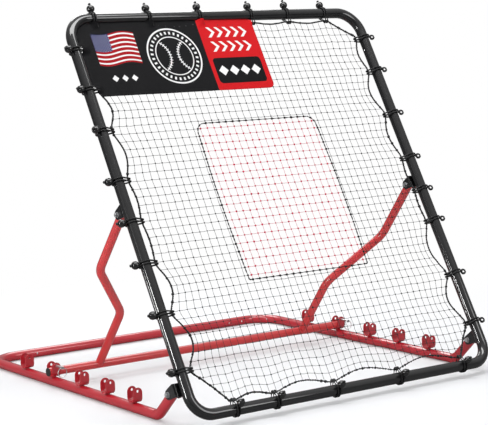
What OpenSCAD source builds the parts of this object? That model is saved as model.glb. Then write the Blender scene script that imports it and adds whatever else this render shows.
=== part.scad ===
// Pitch back rebounder: a leaning net frame on a U-shaped ground base.
// Millimetres. X runs across the frame, Y towards the back, Z up.
// The origin is on the ground, in the middle of the whole object's box.

/* [Net frame] */
// Outer width of the net frame
frame_w = 1219; // [1100:1:1300]
// Outer height of the net frame, measured along it
frame_h = 1372; // [1250:1:1450]
// Diameter of the frame's tube
frame_od = 35; // [30:0.5:38]
// Wall of the frame's tube
frame_wall = 1.5; // [1.2:0.1:2.2]
// Lean of the frame, back from upright, in degrees
frame_lean = 30; // [24:0.5:34]
// Gap between the ground and the bottom tube
frame_clear = 21.5; // [15:0.5:32]
// Centreline radius of the two top corners
frame_top_r = 82; // [60:1:100]
// Centreline radius of the two bottom corners
frame_bottom_r = 66; // [50:1:90]
// Height of the lower joint above the bottom tube's centreline
frame_joint_low = 205; // [190:1:230]
// Drop of the upper joint below the top tube's centreline
frame_joint_top = 180; // [170:1:190]
// Length of every reduced tube end that slides into the next tube
spigot_l = 55; // [40:1:60]

/* [Base] */
// Diameter of the base's tube
base_od = 32; // [28:0.5:34]
// Wall of the base's tube
base_wall = 1.6; // [1.2:0.1:2.2]
// Distance from the frame's side tubes out to the rails, centre to centre
rail_out = 13; // [9:0.5:18]
// Depth from the frame's bottom tube to the back bar
base_depth = 1256; // [1200:1:1300]
// Centreline radius of the two back corners
base_corner_r = 100; // [80:1:110]
// Distance from a rail in to the back bar's joint
base_joint_in = 153; // [145:1:180]
// Length of the sleeve inside each back bar joint
sleeve_l = 100; // [80:1:104]
// Distance between the two buttons of a sleeve
sleeve_buttons = 60; // [50:1:70]
// Depth from the frame's bottom tube to the joint of each front leg
leg_joint_y = 255; // [235:1:265]
// Rise of each front leg, in degrees
leg_angle = 44; // [40:0.5:50]
// Centreline radius of the leg's bend
leg_bend_r = 45; // [40:1:60]
// Length of the leg past its pivot
leg_tip = 14; // [10:0.5:16]

/* [Hinge brackets] */
// Lower pivot's height along the frame
pivot_low = 95; // [85:1:110]
// Lower pivot's distance behind the frame's centre plane
pivot_low_back = 52; // [50:0.5:58]
// Upper pivot's height along the frame
pivot_high = 676; // [640:1:700]
// Upper pivot's distance behind the frame's centre plane
pivot_high_back = 44; // [42:0.5:52]
// Thickness of the bracket plate
bracket_t = 2.5; // [2:0.1:3]
// Height of a bracket where it meets the frame
bracket_h = 42; // [38:1:60]
// Radius of a bracket's ear round its pivot
bracket_ear_r = 16; // [13:0.5:18]
// Side clearance between a bracket's ear and the tube inside it
bracket_clear = 0.5; // [0.4:0.1:0.9]
// Diameter of the pivot bolts
bolt_d = 8; // [7:0.5:9]
// Radial clearance round the pivot bolts
bolt_clear = 0.08; // [0.05:0.01:0.1]
// Width across the corners of the bolts' heads and nuts
hex_d = 15; // [13:0.5:17]

/* [Clips] */
// Depth from the frame's bottom tube to the front clip
clip_first = 306; // [302:1:312]
// Spacing of the three front clips
clip_pitch_front = 157; // [150:1:162]
// Spacing of the rear clips
clip_pitch_rear = 180; // [165:1:184]
// Thickness of the clip's strap
clip_t = 2.5; // [2:0.1:3]
// Width of the strap, across the rail's own width
clip_w = 33; // [28:1:36]
// Side clearance between a clip and the crossbar
clip_clear = 0.8; // [0.7:0.1:1.5]
// Gap under the seated crossbar
seat_clear = 0.5; // [0.3:0.05:0.8]
// Diameter of the pin holes in the ears
clip_hole_d = 8.7; // [8.4:0.1:10]
// Gap between the crossbar's top and the pin's underside
pin_over = 2.4; // [1.5:0.1:5]
// Height of an ear above its pin hole's centre
ear_rise = 11; // [9:0.5:14]
// Clip that holds the crossbar, counted from the back
clip_used = 2; // [1:1:3]

/* [Prop] */
// Diameter of the crossbar and the arms
prop_od = 28; // [24:0.5:30]
// Wall of the crossbar and the arms
prop_wall = 1.5; // [1.2:0.1:2.2]
// Length of the crossbar past each rail's centreline, with its end plug
crossbar_over = 23; // [18:1:30]
// Distance from the frame's side tubes in to each arm's upper end
arm_in = 6; // [0:0.5:12]
// Sideways step of each arm between its two ends
arm_step = 154; // [120:1:180]
// Slant of the arm between its two bends, in degrees
arm_slant = 36; // [30:1:45]
// Centreline radius of the arm's bends
arm_bend_r = 80; // [60:1:90]
// Distance from the upper pivot to the middle of the slant
arm_slant_at = 345; // [300:1:380]
// Length of the arm past its pivot
arm_tip = 12; // [9:0.5:14]
// Thickness of the crossbar plug's flange
plug_flange = 3; // [2:0.5:4]
// Length of the crossbar plug inside the tube
plug_l = 15; // [10:1:20]

/* [Lock pins] */
// Diameter of a lock pin
pin_d = 8; // [7.5:0.1:8.2]
// Length of a lock pin's head
pin_head_l = 8; // [7:0.5:12]
// Diameter of a lock pin's head
pin_head_d = 10; // [9.5:0.1:10.5]
// Travel of a lock pin, from the front ear only to through both ears
pin_travel = 34; // [34:0.5:38]
// Diameter of the pull ring to the middle of its wire
ring_d = 32; // [28:0.5:33]
// Diameter of the pull ring's wire
ring_wire = 2.5; // [2:0.1:2.8]
// Diameter of the cross hole that holds the ring
ring_hole_d = 4; // [3.9:0.1:4.5]

/* [Net] */
// Spacing of the net's strands
net_pitch = 80; // [76:1:90]
// Width of a strand
net_strand = 4; // [2:0.5:6]
// Thickness of the net
net_t = 3; // [2.5:0.1:3.4]
// Width of the rope round the net
rope_w = 6; // [5:0.2:6]
// Thickness of the rope round the net
rope_t = 4; // [3.5:0.1:4]
// Distance from the side tubes' centrelines to the rope where it is tied
tie_in_side = 37; // [35:0.5:42]
// Distance from the top and bottom tubes' centrelines to the tied rope
tie_in_end = 29; // [28:0.5:34]
// Width of the red target zone
target_w = 474; // [400:1:500]
// Height of the red target zone
target_h = 541; // [450:1:560]
// Height of the target zone's bottom above the bottom tube's centreline
target_low = 397; // [350:1:420]
// Width of the cord round the target zone
target_cord_w = 6; // [4:0.5:8]

/* [Banner] */
// Thickness of the banner
banner_t = 0.8; // [0.5:0.1:1]
// Gap between the rope's front face and the banner
banner_gap = 0.2; // [0.1:0.05:0.3]
// Gap between the banner and the tube it hangs beside
banner_inset = 2; // [1:0.5:4]
// Height of the banner
banner_h = 256; // [200:1:280]
// Distance from the middle to the banner's right edge
banner_right = 122; // [60:1:124]
// Radius of the banner's right corners
banner_r = 20; // [5:1:30]
// Radius of the openings in the banner for the bungees
banner_eye_r = 8; // [7.5:0.1:9]

/* [Bungees] */
// Diameter of the elastic cord
cord_d = 4; // [3:0.1:4.2]
// Gap between a bungee and what it is wrapped round
cord_clear = 0.3; // [0.3:0.05:0.5]
// Diameter of a bungee's ball
ball_d = 26; // [22:0.5:28]
// Diameter of the hole through a ball
ball_hole_d = 4.6; // [4.6:0.1:6]
// Diameter of the knot behind a ball
knot_d = 7; // [6.5:0.5:8]
// Radius of the eye that stands out on the right, to the cord's middle
spare_eye_r = 7; // [6:0.5:10]

/* [Hidden] */
$fn = 48;

black_paint = [0.13, 0.13, 0.14];
red_paint = [0.78, 0.13, 0.18];
arm_paint = [0.86, 0.27, 0.24];
zinc = [0.75, 0.76, 0.78];
cord_black = [0.06, 0.06, 0.06];
target_red = [0.90, 0.30, 0.36];

bolt_head_l = 5.5;
nut_l = 7;
washer_t = 1.2;
washer_d = 17;
bolt_end = 2;  // length of the bolt past its nut
nut_reach = washer_t + nut_l + bolt_end;
fit = 0.15;    // radial gap between a reduced tube end and its socket
weld = 0.05;   // gap left where one welded piece is cut to fit another
bend_swell = 0.1;   // how much wider a tube is in its bends
bend_lap = 1;       // how far a straight stretch runs on inside the bend

// --- Side view: where the pivots and the clips lie ---
frame_x = (frame_w - frame_od) / 2;
frame_top = frame_h - frame_od;
frame_z = frame_clear + frame_od / 2;
joint_high = frame_top - frame_joint_top;
base_x = frame_x + rail_out;
base_joint_x = base_x - base_joint_in;
crossbar_l = 2 * (base_x + crossbar_over);
arm_top_x = frame_x - arm_in;
base_z = (base_od + bend_swell) / 2;

// A point given along the frame and behind it, as [depth, height] in the side view
function side_point(along, back) = [
    along * sin(frame_lean) + back * cos(frame_lean),
    frame_z + along * cos(frame_lean) - back * sin(frame_lean)
];
pivot_b = side_point(pivot_low, pivot_low_back);
pivot_u = side_point(pivot_high, pivot_high_back);

clip_y = [
    clip_first + 2 * clip_pitch_front + 2 * clip_pitch_rear,
    clip_first + 2 * clip_pitch_front + clip_pitch_rear,
    clip_first + 2 * clip_pitch_front,
    clip_first + clip_pitch_front,
    clip_first
];
clip_gap = prop_od + 2 * clip_clear;
clip_outer = clip_gap + 2 * clip_t;
seat_z = base_z + base_od / 2 + clip_t;
crossbar_z = seat_z + seat_clear + prop_od / 2;
pin_z = crossbar_z + prop_od / 2 + pin_over + pin_d / 2;
crossbar_y = clip_y[clip_used - 1];

// --- The whole object's reach to each side, for the origin in its middle ---
ball_out = frame_od / 2 + cord_clear + cord_d + cord_clear + ball_d / 2;
knot_out = ball_out + ball_d / 2 + cord_clear + knot_d / 2;
front_ball_angle = 105;   // from straight down round to the front
reach_front = -(knot_out + knot_d / 2) * sin(front_ball_angle + frame_lean)
    + cord_d / 2 * cos(30) * cos(front_ball_angle + frame_lean);
reach_back = base_depth + base_od / 2;
reach_left = frame_x + knot_out + knot_d / 2;
reach_right = base_x + base_od / 2 + bracket_clear + bracket_t + nut_reach;
mid_x = (reach_right - reach_left) / 2;
mid_y = (reach_front + reach_back) / 2;

module in_place() {
    translate([-mid_x, -mid_y, 0]) children();
}

// X across, Y behind the frame, Z up along it, from the bottom tube's middle
module on_frame() {
    in_place() translate([0, 0, frame_z]) rotate([-frame_lean, 0, 0]) children();
}

// Pieces are drawn on the left, side -1, and mirrored for the right, side 1
module on_side(side) {
    mirror([side > 0 ? 1 : 0, 0, 0]) children();
}

module left_and_right() {
    on_side(-1) children();
    on_side(1) children();
}

// --- Tubes ---
module tube(od, wall, l) {
    difference() {
        cylinder(d = od, h = l);
        translate([0, 0, -1]) cylinder(d = od - 2 * wall, h = l + 2);
    }
}

// Starts upwards at the origin and turns towards +X, or towards -X for a negative angle
module bend(od, wall, r, angle) {
    mirror([angle < 0 ? 1 : 0, 0, 0])
        translate([r, 0, 0])
            rotate([90, 0, 180])
                rotate_extrude(angle = abs(angle), $fn = 96)
                    translate([r, 0])
                        difference() {
                            circle(d = od + bend_swell);
                            circle(d = od - 2 * wall + bend_swell);
                        }
}

// A bent tube: each step is [straight length, bend angle, bend radius]
module bent_tube(steps, od, wall, i = 0) {
    if (i < len(steps)) {
        length = steps[i][0];
        angle = steps[i][1];
        r = steps[i][2];
        lap_before = i > 0 ? bend_lap : 0;
        lap_after = angle != 0 ? bend_lap : 0;
        translate([0, 0, -lap_before])
            tube(od, wall, lap_before + length + lap_after);
        translate([0, 0, length]) {
            if (angle != 0) bend(od, wall, r, angle);
            translate([sign(angle) * r * (1 - cos(angle)), 0, r * sin(abs(angle))])
                rotate([0, angle, 0])
                    bent_tube(steps, od, wall, i + 1);
        }
    }
}

// A tube's reduced end, from the tube's own end upwards
module spigot(od, wall) {
    neck = 4;
    inner_d = od - 2 * wall - 2 * fit;
    translate([0, 0, -neck])
        difference() {
            union() {
                cylinder(d = od - wall, h = neck);
                cylinder(d = inner_d, h = neck + spigot_l);
            }
            translate([0, 0, -1]) cylinder(d = inner_d - 2 * wall, h = spigot_l + neck + 2);
        }
}

// --- Spring buttons in the tube joints ---
button_d = 6.6;
button_hole_d = 7;
button_proud = 1.8;
button_root = 6;

// Points along +X from a tube's middle
module button(od) {
    reach = od / 2 + button_proud - button_d / 2;
    rotate([0, 90, 0]) {
        translate([0, 0, button_root]) cylinder(d = button_d, h = reach - button_root);
        translate([0, 0, reach]) sphere(d = button_d);
    }
}

module button_hole(od) {
    rotate([0, 90, 0]) cylinder(d = button_hole_d, h = od);
}

// --- Base ---
leg_dir = [-cos(leg_angle), sin(leg_angle)];
leg_run = (pivot_b[1] - base_z) / sin(leg_angle);
leg_vertex_y = pivot_b[0] + leg_run * cos(leg_angle);
leg_tangent = leg_bend_r * tan(leg_angle / 2);
button_down = spigot_l / 2;
corner_straight = base_x - base_corner_r - base_joint_x;

module base_back_bar() {
    color(red_paint)
        in_place()
            difference() {
                translate([-base_joint_x, base_depth, base_z])
                    rotate([0, 90, 0])
                        tube(base_od, base_wall, 2 * base_joint_x);
                left_and_right()
                    translate([-base_joint_x + sleeve_buttons / 2, base_depth, base_z])
                        rotate([0, 0, -90])
                            button_hole(base_od);
            }
}

module base_side(side) {
    color(red_paint)
        in_place() on_side(side)
            difference() {
                translate([-base_x, leg_joint_y, base_z])
                    rotate([-90, 0, 0])
                        bent_tube([
                            [base_depth - base_corner_r - leg_joint_y, 90, base_corner_r],
                            [corner_straight, 0, 0]
                        ], base_od, base_wall);
                translate([-base_joint_x - sleeve_buttons / 2, base_depth, base_z])
                    rotate([0, 0, -90])
                        button_hole(base_od);
                translate([-base_x, leg_joint_y + button_down, base_z])
                    button_hole(base_od);
            }
}

module base_leg(side) {
    color(red_paint)
        in_place() on_side(side)
            difference() {
                union() {
                    translate([-base_x, leg_joint_y, base_z]) {
                        rotate([90, 0, 0])
                            rotate([0, 0, 90])
                                bent_tube([
                                    [leg_joint_y - leg_vertex_y - leg_tangent, leg_angle, leg_bend_r],
                                    [leg_run - leg_tangent + leg_tip, 0, 0]
                                ], base_od, base_wall);
                        rotate([-90, 0, 0]) spigot(base_od, base_wall);
                    }
                }
                translate([-base_x, leg_joint_y + button_down, base_z])
                    button_hole(base_od);
                translate([-base_x - base_od, pivot_b[0], pivot_b[1]])
                    rotate([0, 90, 0])
                        cylinder(d = bolt_d + 2 * bolt_clear, h = 2 * base_od);
            }
}

sleeve_d = base_od - 2 * base_wall - 2 * fit;

module base_sleeves() {
    color(zinc)
        in_place()
            left_and_right()
                difference() {
                    translate([-base_joint_x - sleeve_l / 2, base_depth, base_z])
                        rotate([0, 90, 0])
                            tube(sleeve_d, base_wall, sleeve_l);
                    for (side = [-1, 1])
                        translate([-base_joint_x + side * sleeve_buttons / 2, base_depth, base_z])
                            rotate([0, 0, -90])
                                button_hole(base_od);
                }
}

module base_snap_buttons() {
    color(zinc)
        in_place()
            left_and_right() {
                for (side = [-1, 1])
                    translate([-base_joint_x + side * sleeve_buttons / 2, base_depth, base_z])
                        rotate([0, 0, -90])
                            button(base_od);
                translate([-base_x, leg_joint_y + button_down, base_z])
                    button(base_od);
            }
}

// --- Clips welded on the rails: a strap bent into a U, open upwards ---
clip_bend_r = clip_gap / 2;
clip_bend_z = seat_z + clip_bend_r;
clip_top = pin_z + ear_rise;

module clip_profile() {
    difference() {
        union() {
            circle(r = clip_bend_r + clip_t);
            translate([-clip_outer / 2, 0]) square([clip_outer, clip_top - clip_bend_z + 1]);
        }
        circle(r = clip_bend_r);
        translate([-clip_gap / 2, 0]) square([clip_gap, clip_top]);
    }
}

module strap() {
    pad_d = 14;
    pad_h = 5;
    difference() {
        union() {
            intersection() {
                translate([-clip_w / 2, 0, clip_bend_z])
                    rotate([90, 0, 90])
                        linear_extrude(clip_w)
                            clip_profile();
                ear_outline();
            }
            difference() {
                translate([0, 0, seat_z - pad_h]) cylinder(d = pad_d, h = pad_h);
                translate([-pad_d, 0, clip_bend_z])
                    rotate([0, 90, 0])
                        cylinder(r = clip_bend_r + clip_t / 2, h = 2 * pad_d);
            }
        }
        translate([0, clip_outer, pin_z])
            rotate([90, 0, 0])
                cylinder(d = clip_hole_d, h = 2 * clip_outer);
        translate([0, pad_d, base_z])
            rotate([90, 0, 0])
                cylinder(d = base_od + 2 * weld, h = 2 * pad_d);
    }
}

// The clip in use is drawn as its bend and its two ears, with the crossbar between them
module clip(side, number, from = 0, to = clip_top + 1) {
    color(red_paint)
        in_place()
            translate([side * base_x, clip_y[number - 1], 0])
                if (from == 0 && to > clip_top) strap();
                else intersection() {
                    strap();
                    translate([-clip_w, -clip_outer, from])
                        cube([2 * clip_w, 2 * clip_outer, to - from]);
                }
}

module clip_ears(side) {
    clip(side, clip_used, from = clip_bend_z + weld);
}

// The strap's outline seen along Y: straight sides and a round top
module ear_outline() {
    crown_r = clip_w / 2;
    rotate([90, 0, 0])
        linear_extrude(2 * clip_outer, center = true) {
            translate([0, clip_top - crown_r]) circle(r = crown_r);
            translate([-crown_r, 0]) square([clip_w, clip_top - crown_r]);
        }
}

// --- Net frame ---
module frame_bend(end_w, joint_w, corner_r) {
    leg = abs(end_w - joint_w) - corner_r;
    translate([-frame_x, 0, joint_w])
        mirror([0, 0, end_w < joint_w ? 1 : 0])
            bent_tube([
                [leg, 90, corner_r],
                [2 * frame_x - 2 * corner_r, 90, corner_r],
                [leg, 0, 0]
            ], frame_od, frame_wall);
}

module frame_button_places(w) {
    translate([-frame_x, 0, w]) children();
    mirror([1, 0, 0]) translate([-frame_x, 0, w]) children();
}

module frame_top_bend() {
    color(black_paint)
        on_frame()
            difference() {
                frame_bend(frame_top, joint_high, frame_top_r);
                frame_button_places(joint_high + button_down) button_hole(frame_od);
            }
}

module frame_bottom_bend() {
    color(black_paint)
        on_frame()
            difference() {
                frame_bend(0, frame_joint_low, frame_bottom_r);
                frame_button_places(frame_joint_low - button_down) button_hole(frame_od);
            }
}

module frame_side(side) {
    color(black_paint)
        on_frame()
            on_side(side) translate([-frame_x, 0, 0])
                difference() {
                    union() {
                        translate([0, 0, frame_joint_low])
                            tube(frame_od, frame_wall, joint_high - frame_joint_low);
                        translate([0, 0, joint_high]) spigot(frame_od, frame_wall);
                        translate([0, 0, frame_joint_low])
                            mirror([0, 0, 1])
                                spigot(frame_od, frame_wall);
                    }
                    for (w = [joint_high + button_down, frame_joint_low - button_down])
                        translate([0, 0, w]) button_hole(frame_od);
                }
}

module frame_snap_buttons() {
    color(zinc)
        on_frame() {
            frame_button_places(joint_high + button_down) button(frame_od);
            frame_button_places(frame_joint_low - button_down) button(frame_od);
        }
}

// --- Hinge brackets: a channel whose web is welded to the side tube's back ---
// One ear, drawn with X behind the frame and Y along it, round the pivot at the origin
module ear_profile(back) {
    web_x = frame_od / 2 - back;
    a = 180 - acos(bracket_ear_r / norm([web_x, bracket_h / 2])) - atan2(bracket_h / 2, -web_x);
    circle(r = bracket_ear_r);
    polygon([
        [web_x, -bracket_h / 2],
        bracket_ear_r * [cos(a), -sin(a)],
        bracket_ear_r * [cos(a), sin(a)],
        [web_x, bracket_h / 2]
    ]);
}

module bracket(side, x, along, back, held_od) {
    inner = held_od + 2 * bracket_clear;
    outer = inner + 2 * bracket_t;
    color(black_paint)
        on_frame() on_side(side)
            difference() {
                translate([-x - outer / 2, back, along])
                    rotate([0, 90, 0])
                        rotate([0, 0, 90])
                            difference() {
                                linear_extrude(outer) ear_profile(back);
                                translate([frame_od / 2 + bracket_t - back, -bracket_h, bracket_t])
                                    cube([2 * back, 2 * bracket_h, inner]);
                            }
                translate([-x - outer, back, along])
                    rotate([0, 90, 0])
                        cylinder(d = bolt_d + 2 * bolt_clear, h = 2 * outer);
                translate([-frame_x, 0, along - bracket_h])
                    cylinder(d = frame_od + 2 * weld, h = 2 * bracket_h);
            }
}

module pivot_bolts(x, along, back, held_od) {
    outer = held_od + 2 * bracket_clear + 2 * bracket_t;
    on_frame() left_and_right()
        translate([-x + outer / 2, back, along])
            rotate([0, -90, 0]) {
                cylinder(d = bolt_d, h = outer + nut_reach);
                translate([0, 0, -washer_t]) cylinder(d = washer_d, h = washer_t);
                translate([0, 0, -washer_t - bolt_head_l])
                    cylinder(d = hex_d, h = bolt_head_l, $fn = 6);
            }
}

module pivot_nuts(x, along, back, held_od) {
    outer = held_od + 2 * bracket_clear + 2 * bracket_t;
    on_frame() left_and_right()
        translate([-x - outer / 2, back, along])
            rotate([0, -90, 0])
                difference() {
                    union() {
                        cylinder(d = washer_d, h = washer_t);
                        translate([0, 0, washer_t]) cylinder(d = hex_d, h = nut_l, $fn = 6);
                    }
                    translate([0, 0, -1])
                        cylinder(d = bolt_d + 2 * bolt_clear, h = nut_l + washer_t + 2);
                }
}

// --- Net, edge rope and target zone, flat in the frame's centre plane ---
ties_under_joint = [140, 322, 506] * (pivot_high / 676);
ties_beside_joint = [pivot_high - 41, pivot_high + 88];   // clear of the upper brackets
ties_over_joint = [940, 1095, 1225] * (frame_top / 1337);
side_ties = concat(ties_under_joint, ties_beside_joint, ties_over_joint);
top_ties = [-482, -275, -70, 139, 300, 457] * (frame_x / 592);
bottom_ties = [-448, -296, -65, 196, 470] * (frame_x / 592);
tie_u = frame_x - tie_in_side;

function reversed(list) = [for (i = [len(list) - 1:-1:0]) list[i]];

// Each tie in turn, clockwise: its place, and the way the rope runs there
ties = concat(
    [for (w = side_ties) [[-tie_u, w], [0, 1]]],
    [for (u = top_ties) [[u, frame_top - tie_in_end], [1, 0]]],
    [for (w = reversed(side_ties)) [[tie_u, w], [0, -1]]],
    [for (u = reversed(bottom_ties)) [[u, tie_in_end], [-1, 0]]]
);

// How far the rope is drawn in after each tie, as a share of the way to the next one
side_sags = [0.21, 0.17, 0.04, 0.06, 0.125, 0.17, 0.12];
corner_sag = 0.02;
top_sags = [0.05, 0.05, 0.05, 0.05, 0.05];
bottom_sags = [0.09, 0.09, 0.09, 0.09];
sags = concat(
    side_sags, [corner_sag], top_sags, [corner_sag],
    reversed(side_sags), [corner_sag], bottom_sags, [corner_sag]
);
sag_power = 1.4;    // how gently the rope leaves a tie
tie_straight = 9;   // how far the rope runs straight on each side of a tie
rope_steps = 6;

function rope_point(i, t) =
    let (here = ties[i],
         next = ties[(i + 1) % len(ties)],
         a = here[0] + tie_straight * here[1],
         b = next[0] - tie_straight * next[1],
         way = next[0] - here[0],
         inward = [way[1], -way[0]])
    a + (b - a) * t + inward * sags[i] * pow(sin(180 * t), sag_power);

rope_line = [
    for (i = [0:len(ties) - 1])
        for (k = [0:rope_steps])
            rope_point(i, k / rope_steps)
];

// The rope's line moved inwards by a distance
function moved_in(line, by) = [
    for (i = [0:len(line) - 1])
        let (n = len(line),
             d = line[(i + 1) % n] - line[(i + n - 1) % n])
        line[i] + by * [d[1], -d[0]] / norm(d)
];

module target_shape(grow) {
    translate([-target_w / 2 - grow, target_low - grow])
        square([target_w + 2 * grow, target_h + 2 * grow]);
}

// Strands both ways, counted from the middle of the frame
module strands() {
    half_u = ceil(frame_x / net_pitch);
    rows = ceil(frame_top / net_pitch);
    for (i = [-half_u:half_u])
        translate([i * net_pitch - net_strand / 2, 0])
            square([net_strand, frame_top]);
    for (k = [0:rows])
        translate([-frame_x, k * net_pitch + net_pitch / 2 - net_strand / 2])
            square([2 * frame_x, net_strand]);
}

// Lifts a flat outline in the frame's plane to a sheet centred on that plane
module sheet(t) {
    on_frame()
        translate([0, t / 2, 0])
            rotate([90, 0, 0])
                linear_extrude(t)
                    children();
}

module net() {
    color(cord_black)
        sheet(net_t)
            difference() {
                intersection() {
                    strands();
                    polygon(moved_in(rope_line, rope_w / 2));
                }
                target_shape(target_cord_w);
            }
}

module net_edge_rope() {
    color(cord_black)
        sheet(rope_t)
            difference() {
                polygon(moved_in(rope_line, -rope_w / 2));
                polygon(moved_in(rope_line, rope_w / 2));
            }
}

module target_net() {
    color(target_red)
        sheet(net_t)
            intersection() {
                strands();
                target_shape(0);
            }
}

module target_cord() {
    color(cord_black)
        sheet(rope_t)
            difference() {
                target_shape(target_cord_w);
                target_shape(0);
            }
}

// --- Banner, on the net's front in the top left corner ---
banner_left = frame_x - frame_od / 2 - banner_inset;
banner_top = frame_top - frame_od / 2 - banner_inset;
banner_corner_r = frame_top_r - frame_od / 2 - banner_inset;
banner_front = rope_t / 2 + banner_gap;

module banner_outline() {
    bottom = banner_top - banner_h;
    notch = 14;
    difference() {
        union() {
            translate([-banner_left, bottom])
                square([banner_left + banner_right - banner_r, banner_h - banner_corner_r]);
            translate([-banner_left + banner_corner_r, bottom])
                square([banner_left + banner_right - banner_r - banner_corner_r, banner_h]);
            translate([0, bottom + banner_r])
                square([banner_right, banner_h - 2 * banner_r]);
            translate([-banner_left + banner_corner_r, banner_top - banner_corner_r])
                circle(r = banner_corner_r);
            for (z = [bottom + banner_r, banner_top - banner_r])
                translate([banner_right - banner_r, z]) circle(r = banner_r);
        }
        polygon([
            [-banner_left - 1, bottom - 1],
            [-banner_left + notch, bottom - 1],
            [-banner_left - 1, bottom + notch]
        ]);
        for (u = top_ties)
            translate([u, frame_top - tie_in_end - cord_reach / 2]) circle(r = banner_eye_r);
        for (w = side_ties)
            translate([-tie_u + cord_reach / 2, w]) circle(r = banner_eye_r);
    }
}

module banner() {
    color(cord_black)
        on_frame()
            translate([0, -banner_front, 0])
                rotate([90, 0, 0])
                    linear_extrude(banner_t)
                        banner_outline();
}

// --- Bungees: a loop round the tube and the rope, closed by a ball ---
rope_corner = norm([rope_w, rope_t]) / 2;
small_r = rope_corner + cord_clear + cord_d / 2;
big_r = frame_od / 2 + cord_clear + cord_d / 2;
cord_reach = small_r + cord_d / 2;

cord_sides = 6;
arc_step_big = 30;
arc_step_small = 45;
cord_pitch = cord_d + 1.5;

function polar(r, angle) = r * [cos(angle), sin(angle)];

// Points round an arc, set out so that its chords stay outside the radius. Each is
// [x, y, drift along the edge], the drift going from one value to the other.
function arc_points(centre, r, from, to, drift_from, drift_to) =
    let (longest = r < big_r ? arc_step_small : arc_step_big,
         n = max(2, ceil(abs(to - from) / longest)),
         step = (to - from) / n)
    [for (i = [0.5:n - 0.5])
        concat(centre + polar(r / cos(step / 2), from + i * step),
               [drift_from + (drift_to - drift_from) * i / n])];

// The knot and the tail through the ball, from the outside inwards
function tail_points(tube, ball_angle) =
    let (half = knot_d / 2)
    [for (p = [
        [knot_out + half, cord_d / 2],
        [knot_out + half / 2, half],
        [knot_out - half / 2, half],
        [knot_out - half, cord_d / 2],
        [ball_out - ball_d / 2 - cord_clear, cord_d / 2]
    ]) concat(tube + polar(p[0], ball_angle), [0, p[1]])];

// One cord: knot, ball, round the tube, round the rope and back to the ball's foot.
// The rope is at the origin and the tube's middle at +X; Y is behind the frame.
function cord_route(distance, ball_angle, eye_r) =
    let (slope = asin((big_r - small_r) / distance),
         tube = [distance, 0],
         rope = [0, 0],
         eye = [distance + big_r + eye_r, 0],
         first = ball_angle - 9,
         last = ball_angle + 12,
         leave = -90 - slope,
         arrive = 90 + slope,
         arcs = eye_r > 0
            ? concat(
                arc_points(tube, big_r, first, 0, 0, 0),
                arc_points(eye, eye_r, 180, 540, 0, cord_pitch),
                arc_points(tube, big_r, 0, leave, cord_pitch, cord_pitch),
                arc_points(rope, small_r, leave, arrive - 360, cord_pitch, cord_pitch),
                arc_points(tube, big_r, arrive, last, cord_pitch, cord_pitch))
            : concat(
                arc_points(tube, big_r, first, leave, 0, 0),
                arc_points(rope, small_r, leave, arrive - 360, 0, cord_pitch),
                arc_points(tube, big_r, arrive, last, cord_pitch, cord_pitch)))
    concat(tail_points(tube, ball_angle), [for (p = arcs) concat(p, [cord_d / 2])]);

// A tube of the given radii along a route that stays near the XY plane
module cord_sweep(route) {
    n = len(route);
    rings = [
        for (i = [0:n - 1])
            let (d = route[min(i + 1, n - 1)] - route[max(i - 1, 0)],
                 side = [d[1], -d[0]] / norm([d[0], d[1]]),
                 r = route[i][3])
            for (k = [0:cord_sides - 1])
                let (a = 360 * (k + 0.5) / cord_sides)
                [
                    route[i][0] + side[0] * r * cos(a),
                    route[i][1] + side[1] * r * cos(a),
                    route[i][2] + r * sin(a)
                ]
    ];
    m = cord_sides;
    polyhedron(
        points = rings,
        faces = concat(
            [[for (k = [0:m - 1]) k]],
            [[for (k = [m - 1:-1:0]) (n - 1) * m + k]],
            [for (i = [0:n - 2]) for (k = [0:m - 1])
                [i * m + k, (i + 1) * m + k, (i + 1) * m + (k + 1) % m]],
            [for (i = [0:n - 2]) for (k = [0:m - 1])
                [i * m + k, (i + 1) * m + (k + 1) % m, i * m + (k + 1) % m]]
        )
    );
}

module cord_loop(distance, ball_angle, eye_r = 0) {
    cord_sweep(cord_route(distance, ball_angle, eye_r));
}

module ball(distance, ball_angle) {
    translate([distance, 0, 0])
        rotate([0, 0, ball_angle])
            translate([ball_out, 0, 0])
                rotate([0, 90, 0])
                    rotate_extrude()
                        difference() {
                            circle(d = ball_d, $fn = 96);
                            translate([-ball_d, -ball_d])
                                square([ball_d + ball_hole_d / 2, 2 * ball_d]);
                        }
}

// Places a loop at each tie of one edge, its tube side outwards
module at_top_ties() {
    on_frame()
        for (u = top_ties)
            translate([u, 0, frame_top - tie_in_end])
                rotate([0, -90, 0])
                    children();
}

module at_bottom_ties() {
    on_frame()
        for (u = bottom_ties)
            translate([u, 0, tie_in_end])
                rotate([0, 90, 0])
                    children();
}

module at_left_ties() {
    on_frame()
        for (w = side_ties)
            translate([-tie_u, 0, w])
                mirror([1, 0, 0])
                    children();
}

module at_right_ties() {
    on_frame()
        for (w = side_ties)
            translate([tie_u, 0, w])
                children();
}

// --- Prop: crossbar and two arms with a sideways jog ---
arm_span = [crossbar_y, crossbar_z] - pivot_u;
arm_l = norm(arm_span);
arm_turn = atan2(-arm_span[0], arm_span[1]);
slant_l = (arm_step - 2 * arm_bend_r * (1 - cos(arm_slant))) / sin(arm_slant);
jog_half = arm_bend_r * sin(arm_slant) + slant_l * cos(arm_slant) / 2;

module prop_crossbar() {
    color(arm_paint)
        in_place()
            translate([-crossbar_l / 2 + plug_flange, crossbar_y, crossbar_z])
                rotate([0, 90, 0])
                    tube(prop_od, prop_wall, crossbar_l - 2 * plug_flange);
}

module crossbar_plugs() {
    color(cord_black)
        in_place()
            left_and_right()
                translate([-crossbar_l / 2, crossbar_y, crossbar_z])
                    rotate([0, 90, 0]) {
                        cylinder(d = prop_od, h = plug_flange);
                        cylinder(d = prop_od - 2 * prop_wall - 2 * fit, h = plug_flange + plug_l);
                    }
}

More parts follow.
